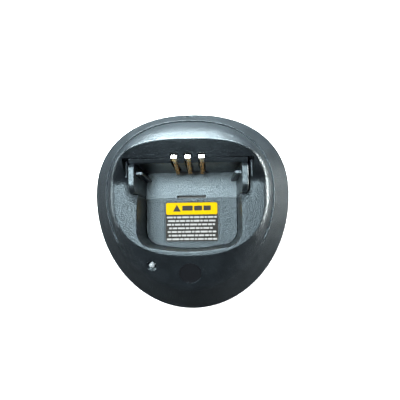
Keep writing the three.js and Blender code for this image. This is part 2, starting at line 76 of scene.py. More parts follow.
BOTTOM_Z = HOUSING_LOW[2]
SKIRT_TOP = 4
RIDGE_Z = 29
DECK_Z = 37
RIM_Z = 48.9
RISE = dict(start=9, end=31)  # along Y, where the upper edge climbs from the deck to the rim
FLANK_SWELL = 0.2  # of the flank above the groove, per millimetre of rise
WALL = 2.4
GAP = 0.3

POCKET = dict(half=26, front=-22.4, seam=6.1, rear=20.9, floor=10.5, corner=9, bow=1.6)
EAR = dict(inner=26, outer=INSERT_HIGH[0], front=6.4, rear=20.6, top=INSERT_HIGH[2], radius=5)
RIB = dict(reach=3.2, thick=1.7, y=16.5, top=39.5)
REAR_WALL = dict(back=INSERT_HIGH[1], top=43)
NOTCH = dict(half=8.4, depth=1.4)
WELL = dict(half=30.5, corner=3.5)
INNER = dict(half=24, widest=2, front=-19, rear=19, front_power=4, rear_power=6)
CONTACT_X = (-6.7, 0.0, 6.7)
CONTACT_NAMES = ("left", "centre", "right")
HEAD = dict(y=23.6, z=43.4, loop=1.1, rise=0.75, bend=0.5)
CURL = dict(y=20.3, z=20.8, radius=1.5)
STRIP = dict(half=1.0, head_half=1.6, half_thickness=0.22)
BADGE = dict(x=0, y=-33.5, radius=5.5, gap=0.12, depth=1.4)
LIGHT = dict(x=-19.5, y=-29.6, radius=1.5, dimple=3.2, sunk=0.9, foot=-8)
POSTS = ((-33, 33), (33, 33), (-38, -16), (38, -16))
SLOT = dict(half=1.7, rear=25.15, corner=0.3, bottom=3.5)
CARRIER = dict(x=(-11.3, 11.3), y=(22, 28), z=(5, 42))
LABEL_MARGIN = 0.5  # from the edge of the pocket's label to the edge of its recess
VENTS = dict(count=5, first=11, pitch=5, half=10, width=2)
HEADING = dict(share=0.315, edge=0.3, triangle=6.5, half=2, bars=((9.6, 15.6), (16.4, 21.0), (21.8, 26.0)))
DASHES = dict(half=0.46, space=0.42, insets=(0.7, 1.4, 0.9, 2.0, 1.1, 1.7, 0.7),
              lengths=(3.4, 1.5, 2.6, 4.1, 1.9, 3.0, 2.2, 1.3))
CROSS = dict(reach=1.5, half=0.32, depth=0.75)
CORNERS = ("rear_left", "rear_right", "front_left", "front_right")
COVER_TOP = 3.2
RECESS = dict(radius=5, floor=50, wall=1.8, axis=(INLET_LOW[2] + INLET_HIGH[2]) / 2)

AROUND = 300  # points round each ring of the housing
ABOVE = 60  # clear of the housing, where an opening's cutter may end
BEHIND = 70  # clear of the housing's rear
BELOW = -1  # under the feet, where a cutter for the underside starts
COVER_CLEAR = 9  # over the bottom cover, where a cutter through it ends


# ------------------------------------------------------------------ meshes

def new_object(name, verts, faces):
    """An object from points in millimetres."""
    mesh = bpy.data.meshes.new(name)
    mesh.from_pydata([[c * MM for c in v] for v in verts], [], faces)
    mesh.update()
    piece = bpy.data.objects.new(name, mesh)
    bpy.context.scene.collection.objects.link(piece)
    return piece


def loft(name, rings):
    """A closed body through rings of equal length, bottom ring first, with flat caps."""
    count = len(rings[0])
    verts = [v for ring in rings for v in ring]
    faces = []
    for k in range(len(rings) - 1):
        for i in range(count):
            j = (i + 1) % count
            faces.append((k * count + i, k * count + j, (k + 1) * count + j, (k + 1) * count + i))
    top = (len(rings) - 1) * count
    faces.append(tuple(range(count - 1, -1, -1)))
    faces.append(tuple(range(top, top + count)))
    return new_object(name, verts, faces)


def applied(piece):
    """Turns the piece's modifiers into plain mesh."""
    bpy.context.view_layer.update()
    graph = bpy.context.evaluated_depsgraph_get()
    mesh = bpy.data.meshes.new_from_object(piece.evaluated_get(graph))
    piece.modifiers.clear()
    piece.data = mesh
    return piece


def boolean(piece, other, operation="DIFFERENCE"):
    """Takes the other body out of the piece, or joins it on, and uses it up."""
    modifier = piece.modifiers.new("boolean", "BOOLEAN")
    modifier.operation = operation
    modifier.solver = "EXACT"
    modifier.object = other
    applied(piece)
    bpy.data.objects.remove(other)
    return piece


def bevelled(piece, width, segments=3, angle=40):
    """Rounds the edges sharper than an angle."""
    modifier = piece.modifiers.new("bevel", "BEVEL")
    modifier.width = width * MM
    modifier.segments = segments
    modifier.limit_method = "ANGLE"
    modifier.angle_limit = math.radians(angle)
    modifier.harden_normals = False
    return applied(piece)


def shaded(piece, angle=32):
    """Smooth shading with sharp edges above an angle, and flat faces kept flat."""
    work = bmesh.new()
    work.from_mesh(piece.data)
    bmesh.ops.remove_doubles(work, verts=work.verts, dist=2e-6)
    bmesh.ops.dissolve_degenerate(work, edges=work.edges, dist=2e-6)
    limit = math.radians(angle)
    for face in work.faces:
        face.smooth = True
    for edge in work.edges:
        edge.smooth = len(edge.link_faces) == 2 and edge.calc_face_angle(0) < limit
    work.to_mesh(piece.data)
    work.free()
    modifier = piece.modifiers.new("weighted", "WEIGHTED_NORMAL")
    modifier.keep_sharp = True
    modifier.weight = 60
    return piece


def smooth_step(low, high, value):
    t = min(max((value - low) / (high - low), 0), 1)
    return t * t * (3 - 2 * t)


def mix(a, b, t):
    return tuple(x + (y - x) * t for x, y in zip(a, b))


def softened(points, cuts, steps=5):
    """A line of points with its corners rounded: cuts gives how far back from each inner corner."""
    line = [points[0]]
    for before, corner, after, cut in zip(points, points[1:], points[2:], cuts):
        a, b, c = Vector(before), Vector(corner), Vector(after)
        reach_in = min(cut, (a - b).length * 0.48)
        reach_out = min(cut, (c - b).length * 0.48)
        start = b + (a - b).normalized() * reach_in
        end = b + (c - b).normalized() * reach_out
        for i in range(steps + 1):
            t = i / steps
            line.append(tuple(start * (1 - t) ** 2 + b * 2 * t * (1 - t) + end * t * t))
    line.append(points[-1])
    return line


def on_outline(o, t, inset=0.0):
    """A point of an egg-shaped outline at angle t, moved inwards by inset."""
    cos, sin = math.cos(t), math.sin(t)
    power = 2 / (o["rear_power"] if sin > 0 else o["front_power"])
    reach = (o["rear"] - o["widest"] if sin > 0 else o["widest"] - o["front"]) - inset
    x = (o["half"] - inset) * math.copysign(abs(cos) ** power, cos)
    y = o["widest"] + reach * math.copysign(abs(sin) ** power, sin)
    return x, y


def outline_ring(o, inset, z, count=AROUND):
    ring = []
    for i in range(count):
        x, y = on_outline(o, 2 * math.pi * i / count, inset)
        ring.append((x, y, z))
    return ring


def rounded_ring(x0, x1, y0, y1, radii, z, steps=8):
    """A rectangle with four corner radii (front left, front right, rear right, rear left)."""
    corners = ((x0, y0, 180), (x1, y0, 270), (x1, y1, 0), (x0, y1, 90))
    ring = []
    for (cx, cy, start), r in zip(corners, radii):
        ox = cx + (r if cx == x0 else -r)
        oy = cy + (r if cy == y0 else -r)
        for i in range(steps + 1):
            a = math.radians(start + 90 * i / steps)
            ring.append((ox + r * math.cos(a), oy + r * math.sin(a), z))
    return ring


def block(x, y, z):
    """A rectangular body."""
    ring = [(x[0], y[0]), (x[1], y[0]), (x[1], y[1]), (x[0], y[1])]
    return loft("block", [[(a, b, z[0]) for a, b in ring], [(a, b, z[1]) for a, b in ring]])


def turned(name, profile, centre=(0, 0), count=48):
    """A body of revolution about the vertical, through [radius, height] pairs going up."""
    rings = []
    for radius, height in profile:
        ring = []
        for i in range(count):
            a = 2 * math.pi * i / count
            ring.append((centre[0] + radius * math.cos(a), centre[1] + radius * math.sin(a), height))
        rings.append(ring)
    return loft(name, rings)


# ------------------------------------------------------------------ housing

def top_height(y):
    """Height of the housing's upper edge: level beside the pocket, climbing to the rear rim."""
    return DECK_Z + (RIM_Z - DECK_Z) * smooth_step(RISE["start"], RISE["end"], y)


def beside_ears(y):
    """0 in front of the ears, 1 beside and behind them."""
    return smooth_step(4, 9, y)


def foot_height(y):
    """Height of the scoop's foot: rolled down beside the ears, higher along the rear wall."""
    low = DECK_Z - 2.2 * beside_ears(y)
    return low + (REAR_WALL["top"] + 0.4 - low) * smooth_step(15, POCKET["rear"], y)


def housing_profile(t):
    """The housing's section at angle t, from the middle of its underside to the scoop's foot."""
    bx, by = on_outline(SKIRT, t)
    rx, ry = on_outline(RIDGE, t)
    sx, sy = on_outline(SHOULDER, t)
    fx, fy = on_outline(SCOOP_FOOT, t)
    ix, iy = on_outline(INNER, t)
    front = smooth_step(-12, -42, ry)  # 1 where the ridge has faded into the front slope
    back = 1 - front
    out = Vector((math.cos(t), math.sin(t), 0))
    up = Vector((0, 0, 1))
    skirt_top = Vector((bx, by, SKIRT_TOP))
    ridge = Vector((rx, ry, RIDGE_Z))
    top = top_height(sy)
    swell = (top - DECK_Z) * FLANK_SWELL
    middle = Vector(((rx + sx) / 2, (ry + sy) / 2, (RIDGE_Z + top) / 2 + swell))
    shoulder = Vector((sx, sy, top))
    foot = Vector((fx, fy, foot_height(fy)))
    scooped = smooth_step(19, 26, sy)  # 1 where a slope replaces the level land
    land = mix(shoulder, foot, 0.36)
    roll = mix(shoulder, foot, 0.72)
    land = Vector((land[0], land[1], top + (land[2] - top) * scooped))
    dip = 0.5 * beside_ears(sy)
    roll = Vector((roll[0], roll[1], top - dip + (roll[2] - top + dip) * scooped))
    points = [
        Vector((bx, by, BOTTOM_Z)) - out * 4,
        Vector((bx, by, BOTTOM_Z)),
        skirt_top,
        (ridge + out * 0.25 * back).lerp(skirt_top, 0.3 * front),
        ridge - out * 0.55 - up * 0.55 * back,
        (ridge - out * 1.1 + up * (0.5 + 0.3 * back)).lerp(middle, 0.6 * front),
        middle,
        shoulder,
        land,
        roll,
        foot,
        Vector((ix, iy, foot_height(fy))),
    ]
    rim_round = 0.6 + 2.2 * (1 - smooth_step(18, 28, sy))
    cuts = [0.5, 2.5, 0.25 + 14 * front, 0.2 + 2 * front, 0.35 + 8 * front, 6, rim_round, 3, 3, 1]
    return softened([tuple(p) for p in points], cuts)


def housing_body():
    """The housing as a solid dome, before anything is cut into it."""
    profiles = [housing_profile(2 * math.pi * i / AROUND) for i in range(AROUND)]
    rings = [list(ring) for ring in zip(*profiles)]
    return loft("housing_shell", rings)


def pocket_ring(grow, z, steps=14):
    """The pocket's outline in front of the seam, grown outwards, at height z."""
    half, front, corner, bow = POCKET["half"], POCKET["front"], POCKET["corner"], POCKET["bow"]
    side, radius = half + grow, corner + grow
    edge = front - grow + bow
    ring = [(-side, POCKET["seam"] + 1, z)]
    for i in range(steps + 1):
        a = math.radians(180 + 90 * i / steps)
        ring.append((radius - side + radius * math.cos(a), edge + radius + radius * math.sin(a), z))
    for i in range(1, steps):
        t = i / steps
        ring.append(((radius - side) * (1 - 2 * t), edge - 4 * bow * t * (1 - t), z))
    for i in range(steps + 1):
        a = math.radians(270 + 90 * i / steps)
        ring.append((side - radius + radius * math.cos(a), edge + radius + radius * math.sin(a), z))
    ring.append((side, POCKET["seam"] + 1, z))
    return ring


def flared(ring, floor, mouth, top, floor_round=0.5, mouth_round=0.6):
    """A cutter whose foot is rounded and whose mouth opens out. ring(grow, z) gives its outline."""
    rings = [ring(-floor_round, floor)]
    for i in range(1, 5):
        a = math.radians(90 * i / 4)
        rings.append(ring(-floor_round * (1 - math.sin(a)), floor + floor_round * (1 - math.cos(a))))
    for i in range(6):
        a = math.radians(90 * i / 5)
        rings.append(ring(mouth_round * (1 - math.cos(a)), mouth - mouth_round * (1 - math.sin(a))))
    rings.append(ring(mouth_round + 0.02, mouth + 0.05))
    rings.append(ring(mouth_round + 0.04, top))
    return rings


def well_ring(grow, z):
    """The outline of the opening that the pocket insert stands in."""
    half, r = WELL["half"] + grow, WELL["corner"]
    return rounded_ring(-half, half, POCKET["seam"] - grow * 0.2, REAR_WALL["back"] + 0.1,
                        (r, r, 0.6, 0.6), z)


def surface_frame(shell, place, reach):
    """A frame lying on the shell where a disc of the given reach touches it, axis outwards."""
    points = [vertex.co for vertex in shell.data.vertices]
    tree = BVHTree.FromPolygons(points, [polygon.vertices for polygon in shell.data.polygons])
    touches = []
    for dx, dy in ((reach, 0), (-reach, 0), (0, reach), (0, -reach)):
        start = Vector((place["x"] + dx, place["y"] + dy, ABOVE)) * MM
        touches.append(tree.ray_cast(start, Vector((0, 0, -1)))[0])
    along_x = (touches[0] - touches[1]).normalized()
    axis = along_x.cross(touches[2] - touches[3]).normalized()
    middle = sum(touches, Vector()) / 4
    axes = Matrix((along_x, axis.cross(along_x), axis)).transposed().to_4x4()
    return Matrix.Translation(middle) @ axes


def seated(piece, seat):
    """Moves a piece made on the origin onto its seat."""
    piece.data.transform(seat)
    return piece


def inner_cutter():
    """The hollow under the dome, round the pocket's tub."""
    rings = [outline_ring(SKIRT, WALL, -2, 96), outline_ring(SKIRT, WALL, SKIRT_TOP, 96),
             outline_ring(RIDGE, WALL, RIDGE_Z - WALL, 96)]
    hollow = loft("hollow", rings)
    tub = loft("tub", [pocket_ring(WALL, POCKET["floor"] - 2), pocket_ring(WALL, ABOVE)])
    boolean(hollow, tub)
    side = WELL["half"] + WALL
    boolean(hollow, block((-side, side), (POCKET["seam"] - WALL, REAR_WALL["back"] + GAP + WALL),
                          (POCKET["floor"] - 2, ABOVE)))
    reach = RECESS["radius"] + RECESS["wall"]
    boolean(hollow, block((-reach, reach), (RECESS["floor"] - RECESS["wall"], BEHIND),
                          (RECESS["axis"] - reach, RECESS["axis"] + reach)))
    return hollow


def turned_about_y(name, profile, height, count=64):
    """A body of revolution about a line along Y, through [radius, y] pairs going to the rear."""
    rings = []
    for radius, y in profile:
        ring = []
        for i in range(count):
            a = -2 * math.pi * i / count
            ring.append((radius * math.cos(a), y, height + radius * math.sin(a)))
        rings.append(ring)
    return loft(name, rings)


def label_ring(grow, z):
    """The outline of the shallow recess that the pocket's label lies in."""
    margin = LABEL_MARGIN + grow
    return rounded_ring(LABEL_LOW[0] - margin, LABEL_HIGH[0] + margin, LABEL_LOW[1] - margin,
                        LABEL_HIGH[1] + margin, (1.3,) * 4, z, 5)


def cut_slots(piece, half, y0, y1, bottom, corner):
    """The three openings that the contact leaves stand in."""
    for x in CONTACT_X:
        rings = [rounded_ring(x - half, x + half, y0, y1, (corner,) * 4, z, 3) for z in (bottom, ABOVE)]
        boolean(piece, loft("slot", rings))


def top_housing(shell, badge_seat, light_seat):
    """The shell with its hollow, pocket, well and all that is let into it."""
    floor = POCKET["floor"]
    boolean(shell, inner_cutter())
    boolean(shell, loft("pocket", flared(pocket_ring, floor, DECK_Z, ABOVE)))
    boolean(shell, loft("well", flared(well_ring, floor - 8, DECK_Z + 0.2, ABOVE, 0.01, 1.2)))
    cut_slots(shell, 1.9, 18, SLOT["rear"], 38, 0.4)
    boolean(shell, block(CARRIER["x"], CARRIER["y"], CARRIER["z"]))
    boolean(shell, loft("label_recess", flared(label_ring, floor - 0.4, floor, floor + 2, 0.05, 0.15)))

    hole = BADGE["radius"] + BADGE["gap"]
    profile = ((hole, -BADGE["depth"]), (hole, -0.12), (hole + 0.12, 0), (hole + 0.16, 5))
    boolean(shell, seated(turned("badge_recess", profile, count=72), badge_seat))
    bore, rim = LIGHT["radius"] + 0.1, LIGHT["dimple"]
    profile = ((bore, LIGHT["foot"] - 1), (bore, -1.5), (rim - 0.2, 0.15), (rim + 0.3, 0.45),
               (rim + 1.2, 0.75), (rim + 1.2, 6))
    boolean(shell, seated(turned("dimple", profile, count=48), light_seat))

    radius, depth = RECESS["radius"], RECESS["floor"]
    hole = INLET_HIGH[0] + GAP
    profile = ((hole, depth - 4), (hole, depth), (radius - 0.4, depth), (radius, depth + 0.4),
               (radius, BEHIND))
    return boolean(shell, turned_about_y("recess", profile, RECESS["axis"]))


# ------------------------------------------------------------------ pocket insert

def side_extrusion(name, outline, x0, x1):
    """A body drawn in the YZ plane, from x0 to x1."""
    rings = [[(x, y, z) for y, z in outline] for x in (x0, x1)]
    return loft(name, rings)


def ear_outline():
    """An ear seen from the side: a round front corner and a smaller rear one."""
    front, rear, top, radius = EAR["front"], EAR["rear"], EAR["top"], EAR["radius"]
    floor = POCKET["floor"] - 2
    outline = [(front, floor), (rear + 1.4, floor), (rear + 1.4, REAR_WALL["top"] - 1.4)]
    for i in range(7):
        a = math.radians(5 + 85 * i / 6)
        outline.append((rear - 2.2 + 2.4 * math.cos(a), top - 2.4 + 2.4 * math.sin(a)))
    for i in range(11):
        a = math.radians(90 + 90 * i / 10)
        outline.append((front + radius + radius * math.cos(a), top - radius + radius * math.sin(a)))
    return outline


def pocket_insert():
    """The rear of the pocket: floor, rear wall, two ears with their ribs, contact slots and catch notch."""
    floor, rear, seam = POCKET["floor"], POCKET["rear"], POCKET["seam"]
    outer, back, bottom = EAR["outer"], REAR_WALL["back"], floor - 2
    insert = block((-outer, outer), (seam + GAP * 0.5, back), (bottom, floor))
    top = REAR_WALL["top"]
    wall = [(rear, bottom), (back, bottom), (back, top + 0.9), (rear + 0.5, top), (rear, top - 0.6)]
    boolean(insert, side_extrusion("wall", wall, -outer + 0.01, outer - 0.01), "UNION")
    for side in (-1, 1):
        low, high = sorted((side * EAR["inner"], side * outer))
        ear = bevelled(side_extrusion("ear", ear_outline(), low, high), 0.55, 4, 50)
        boolean(insert, ear, "UNION")
        low, high = sorted((side * (EAR["inner"] - RIB["reach"]), side * (EAR["inner"] + 1)))
        across = (RIB["y"] - RIB["thick"] / 2, RIB["y"] + RIB["thick"] / 2)
        rib = bevelled(block((low, high), across, (bottom + 0.5, RIB["top"])), 0.35, 3)
        boolean(insert, rib, "UNION")
    cut_slots(insert, SLOT["half"], rear - 1, back + 1, floor + SLOT["bottom"], SLOT["corner"])
    half = NOTCH["half"]
    boolean(insert, block((-half - 0.2, half + 0.2), (rear - 1.2, rear + 1), (floor - 5, floor + 4)))
    notch = (seam - 1, seam + NOTCH["depth"] + GAP)
    return boolean(insert, block((-half, half), notch, (0, floor + 1)))


# ------------------------------------------------------------------ contacts

def leaf_line():
    """The leaf's line in the YZ plane, from behind its flat head, over it and down to the curl."""
    rear, front, top = HEAD["y"] + HEAD["loop"], HEAD["y"] - HEAD["loop"], HEAD["z"] + HEAD["rise"]
    bend = HEAD["bend"]
    line = [(rear, top - 2.4)]
    for start, y in ((0, rear - bend), (90, front + bend)):
        for i in range(5):
            a = math.radians(start + 90 * i / 4)
            line.append((y + bend * math.cos(a), top - bend + bend * math.sin(a)))
    line += [(22.0, 39.5), (21.1, 32), (20.0, 26)]
    for i in range(9):
        a = math.pi * (0.98 + 0.55 * i / 8)
        line.append((CURL["y"] + CURL["radius"] * math.cos(a), CURL["z"] + CURL["radius"] * math.sin(a)))
    line.append((22.6, 18.9))
    return line


def contact_leaf(name, x):
    """A bent strip with rounded edges, wider at its head."""
    line = leaf_line()
    rings = []
    for i, (y, z) in enumerate(line):
        before, after = line[max(i - 1, 0)], line[min(i + 1, len(line) - 1)]
        dy, dz = after[0] - before[0], after[1] - before[1]
        length = math.hypot(dy, dz)
        ny, nz = -dz / length, dy / length
        half = STRIP["half"] + (STRIP["head_half"] - STRIP["half"]) * smooth_step(40.6, 42.4, z)
        ring = []
        for k in range(12):
            a = 2 * math.pi * k / 12
            across = half * math.copysign(abs(math.cos(a)) ** 0.35, math.cos(a))
            off = STRIP["half_thickness"] * math.copysign(abs(math.sin(a)) ** 0.6, math.sin(a))
            ring.append((x + across, y + ny * off, z + nz * off))
        rings.append(ring)
    return loft(name, rings[::-1])


# ------------------------------------------------------------------ small pieces

def sticker(name, low, high, radius):
    """A thin film with a soft edge."""
    rings = []
    for inset, z in ((0, low[2]), (0, high[2] - 0.03), (0.05, high[2])):
        rings.append(rounded_ring(low[0] + inset, high[0] - inset, low[1] + inset, high[1] - inset,
                                  (radius,) * 4, z, 6))
    return loft(name, rings)


def joined(name, parts):
    """One piece from several meshes, each with its own material slot."""
    work = bmesh.new()
    piece = bpy.data.objects.new(name, bpy.data.meshes.new(name))
    bpy.context.scene.collection.objects.link(piece)
    for part, look in parts:
        if look.name not in piece.data.materials:
            piece.data.materials.append(look)
        index = piece.data.materials.find(look.name)
        for polygon in part.data.polygons:
            polygon.material_index = index
        work.from_mesh(part.data)
        bpy.data.objects.remove(part)
    work.to_mesh(piece.data)
    work.free()
    return piece


def printed(x0, x1, y0, y1, z, radius):
    """A patch of ink that stands just proud of the film."""
    rings = [rounded_ring(x0, x1, y0, y1, (radius,) * 4, height, 3) for height in (z - 0.02, z + 0.015)]
    return loft("print", rings)


def pocket_sticker(film_look, dark_look, light_look):
    """Blank two-colour label: a yellow head with a plain triangle and bars over rows of dashes."""
    low, high = LABEL_LOW, LABEL_HIGH
    left, top = low[0], high[2]
    split = high[1] - HEADING["share"] * (high[1] - low[1])
    edge = HEADING["edge"]
    parts = [(sticker("film", low, high, 1.2), dark_look)]
    parts.append((printed(left + edge, high[0] - edge, split, high[1] - edge, top, 0.9), film_look))
    middle = (split + high[1]) / 2 + 0.2
    x, half = HEADING["triangle"], HEADING["half"]
    corners = [(left + x - 2.3, middle - half), (left + x + 2.3, middle - half), (left + x, middle + half)]
    triangle = [[(a, b, z) for a, b in corners] for z in (top - 0.02, top + 0.04)]
    parts.append((loft("triangle", triangle), dark_look))
    for x0, x1 in HEADING["bars"]:
        parts.append((printed(left + x0, left + x1, middle - 1.5, middle + 1.3, top + 0.02, 0.3), dark_look))

    insets, lengths = DASHES["insets"], DASHES["lengths"]
    pitch = (split - low[1] - 0.8) / len(insets)
    for row, inset in enumerate(insets):
        y = split - 0.55 - pitch * (row + 0.5)
        x, count = left + inset, row * 3
        while x < high[0] - inset - 1:
            end = min(x + lengths[count % len(lengths)], high[0] - inset)
            dash = printed(x, end, y - DASHES["half"], y + DASHES["half"], top, 0.2)
            parts.append((dash, light_look))
            x, count = end + DASHES["space"], count + 1
    return joined("pocket_sticker", parts)


def badge_piece(seat):
    """The blank disc: a thin raised rim round a flat face just below it."""
    r = BADGE["radius"]
    profile = ((r - 0.3, -1.0), (r, -0.9), (r, -0.14), (r - 0.07, -0.03), (r - 0.22, 0.0), (r - 0.5, -0.1),
               (r - 0.8, -0.12), (1.0, -0.12))
    return seated(turned("badge_disc", profile, count=96), seat)


def lens_piece(seat):
    """The light pipe: a pin with a domed end in the bottom of its dimple."""
    r = LIGHT["radius"]
    profile = [(r * 0.9, LIGHT["foot"]), (r, LIGHT["foot"] + 0.2)]
    for degrees in range(0, 86, 8):
        a = math.radians(degrees)
        profile.append((r * math.cos(a), r * 0.85 * math.sin(a) - LIGHT["sunk"]))
    return seated(turned("light_lens", profile, count=40), seat)


def centre_of(node):
    """The middle of a node in plan."""
    low, high = node_box(node)
    return (low[0] + high[0]) / 2, (low[1] + high[1]) / 2


def base_piece():
    """The bottom cover with its counterbores, vents, label recess and foot recesses."""
    inset = HOUSING_HIGH[0] - PLATE_HIGH[0]
    low = PLATE_LOW[2]
    rings = [outline_ring(SKIRT, inset + 0.4, low, 180), outline_ring(SKIRT, inset, low + 0.4, 180),
             outline_ring(SKIRT, inset, COVER_TOP, 180)]
    base = loft("bottom_cover", rings)
    bore = ((3.9, BELOW), (3.6, low + 0.3), (3.6, low + 1.3), (1.9, low + 1.3), (1.9, COVER_CLEAR))
    for post in POSTS:
        boolean(base, turned("bore", bore, post))
    half, width = VENTS["half"], VENTS["width"] / 2
    for i in range(VENTS["count"]):
        y = VENTS["first"] + VENTS["pitch"] * i
        ends = (BELOW, COVER_CLEAR)
        rings = [rounded_ring(-half, half, y - width, y + width, (0.99,) * 4, z, 5) for z in ends]
        boolean(base, loft("vent", rings))
    x0, x1 = RATING_LOW[0] - LABEL_MARGIN, RATING_HIGH[0] + LABEL_MARGIN
    y0, y1 = RATING_LOW[1] - LABEL_MARGIN, RATING_HIGH[1] + LABEL_MARGIN
    rings = [rounded_ring(x0, x1, y0, y1, (1.8,) * 4, z, 6) for z in (BELOW, low + 0.5)]
    boolean(base, loft("label_recess", rings))
    recess = ((5.5, BELOW), (5.3, low + 0.2), (5.3, low + 1))
    for corner in CORNERS:
        boolean(base, turned("foot_recess", recess, centre_of("rubber_foot_" + corner)))
    return base


def foot_piece(node):
    """A round rubber foot with a ring to stand on and a shallow hollow inside it."""
    low, high = node_box(node)
    r = (high[0] - low[0]) / 2
    profile = ((1, 0.25), (r - 2.4, 0.12), (r - 1.9, 0), (r - 0.7, 0), (r - 0.2, 0.2), (r, 0.7), (r, high[2]))
    return turned(node.replace("rubber_foot", "foot_pad"), profile, centre_of(node), 56)


def screw_piece(node):
    """A pan-head screw seen from below, with a cross recess."""
    low, high = node_box(node)
    x, y = centre_of(node)
    z = low[2]
    profile = ((1.0, z), (2.3, z + 0.12), (2.85, z + 0.5), (2.95, z + 1), (1.35, z + 1.05),
               (1.35, high[2] - 0.6), (0.3, high[2]))
    screw = turned(node.replace("housing_screw", "case_screw"), profile, (x, y), 40)
    reach, half, depth = CROSS["reach"], CROSS["half"], (z - 1, z + CROSS["depth"])
    boolean(screw, block((x - reach, x + reach), (y - half, y + half), depth))
    return boolean(screw, block((x - half, x + half), (y - reach, y + reach), depth))


# ------------------------------------------------------------------ materials

def material(name):
    """A new material with its node tree and its shader."""
    made = bpy.data.materials.new(name)
    made.use_nodes = True
    shader = made.node_tree.nodes["Principled BSDF"]
    return made, made.node_tree, shader


def add(tree, kind, **values):
    """A node whose inputs or properties are set by name."""
    node = tree.nodes.new(kind)
    for key, value in values.items():
        if key in node.inputs:
            node.inputs[key].default_value = value
        else:
            setattr(node, key, value)
    return node


def object_noise(tree, scale, detail=2.0, roughness=0.5):
    coordinates = add(tree, "ShaderNodeTexCoord")
    noise = add(tree, "ShaderNodeTexNoise", Scale=scale, Detail=detail, Roughness=roughness)
    tree.links.new(coordinates.outputs["Object"], noise.inputs["Vector"])
    return noise


def ramp(tree, source, stops):
    """A colour ramp through (position, colour) stops."""
    node = add(tree, "ShaderNodeValToRGB")
    elements = node.color_ramp.elements
    while len(elements) < len(stops):
        elements.new(0.5)
    for element, (position, colour) in zip(elements, stops):
        element.position = position
        element.color = (*colour, 1)
    tree.links.new(source, node.inputs["Fac"])
    return node


def bump(tree, shader, source, strength, distance, under=None):
    """A bump on the shader, over another bump where one is given."""
    node = add(tree, "ShaderNodeBump", Strength=strength, Distance=distance)
    tree.links.new(source, node.inputs["Height"])
    if under:
        tree.links.new(under.outputs["Normal"], node.inputs["Normal"])
    tree.links.new(node.outputs["Normal"], shader.inputs["Normal"])
    return node


# Of the spark-eroded surface: how many patches and grains lie along a metre, and their heights in metres.
GRAIN = dict(patches=160, coarse=1700, fine=4200, coarse_height=0.00028, fine_height=0.00008)


def spark_eroded(name, colour, roughness, grain, shine=0.5):
    """Moulded plastic with a fine spark-eroded surface."""
    made, tree, shader = material(name)
    shader.inputs["Specular Tint"].default_value = (0.74, 0.92, 1.0, 1)
    shader.inputs["Specular IOR Level"].default_value = shine
    patches = object_noise(tree, GRAIN["patches"], 3)
    dark = tuple(c * 0.8 for c in colour)
    light = tuple(c * 1.25 for c in colour)
    tone = ramp(tree, patches.outputs["Fac"], ((0.3, dark), (0.7, light)))
    tree.links.new(tone.outputs["Color"], shader.inputs["Base Color"])
    smooth, rough = (roughness - 0.03,) * 3, (roughness + 0.03,) * 3
    gloss = ramp(tree, patches.outputs["Fac"], ((0.3, smooth), (0.7, rough)))
    tree.links.new(gloss.outputs["Color"], shader.inputs["Roughness"])
    fine = object_noise(tree, GRAIN["fine"], 2, 0.6)
    coarse = object_noise(tree, GRAIN["coarse"], 1, 0.5)
    first = bump(tree, shader, coarse.outputs["Fac"], grain, GRAIN["coarse_height"])
    bump(tree, shader, fine.outputs["Fac"], grain, GRAIN["fine_height"], first)
    return made


def plain_plastic(name, colour, roughness, grain=0.1, shine=0.5):
    """Smooth plastic, rubber, film or ink, faintly uneven in colour."""
    made, tree, shader = material(name)
    shader.inputs["Specular IOR Level"].default_value = shine
    noise = object_noise(tree, 700, 3)
    tone = ramp(tree, noise.outputs["Fac"], ((0.3, tuple(c * 0.85 for c in colour)), (0.7, colour)))
    tree.links.new(tone.outputs["Color"], shader.inputs["Base Color"])
    shader.inputs["Roughness"].default_value = roughness
    bump(tree, shader, noise.outputs["Fac"], grain, 0.00005)
    return made


HEAD_HIGHLIGHT_TO_GOLD = dict(starts=41.5, full=37)  # heights between which the pale painted highlight on the contact heads gives way to the gold plating


def plated(name, colour, roughness, second=None):
    """Metal with fine drawing lines; second is a colour that takes over towards the lower end."""
    made, tree, shader = material(name)
    shader.inputs["Metallic"].default_value = 1
    noise = object_noise(tree, 1500, 4)
    tone = ramp(tree, noise.outputs["Fac"], ((0.3, tuple(c * 0.82 for c in colour)), (0.65, colour)))
    result = tone.outputs["Color"]
    # On the contacts the colour above is a painted highlight on the heads, and second is the gold plating
    # below it.
    if second:
        place = add(tree, "ShaderNodeTexCoord")
        split = add(tree, "ShaderNodeSeparateXYZ")
        tree.links.new(place.outputs["Object"], split.inputs["Vector"])
        height = add(tree, "ShaderNodeMapRange")
        height.inputs["From Min"].default_value = HEAD_HIGHLIGHT_TO_GOLD["starts"] * MM
        height.inputs["From Max"].default_value = HEAD_HIGHLIGHT_TO_GOLD["full"] * MM
        tree.links.new(split.outputs["Z"], height.inputs["Value"])
        lower = ramp(tree, noise.outputs["Fac"], ((0.35, tuple(c * 0.7 for c in second)), (0.6, second)))
        blend = add(tree, "ShaderNodeMix", data_type="RGBA")
        tree.links.new(height.outputs["Result"], blend.inputs["Factor"])
        tree.links.new(result, blend.inputs["A"])
        tree.links.new(lower.outputs["Color"], blend.inputs["B"])
        result = blend.outputs["Result"]
    tree.links.new(result, shader.inputs["Base Color"])
    gloss = ramp(tree, noise.outputs["Fac"], ((0.3, (roughness,) * 3), (0.7, (roughness + 0.15,) * 3)))
    tree.links.new(gloss.outputs["Color"], shader.inputs["Roughness"])
    bump(tree, shader, noise.outputs["Fac"], 0.1, 0.00004)
    return made


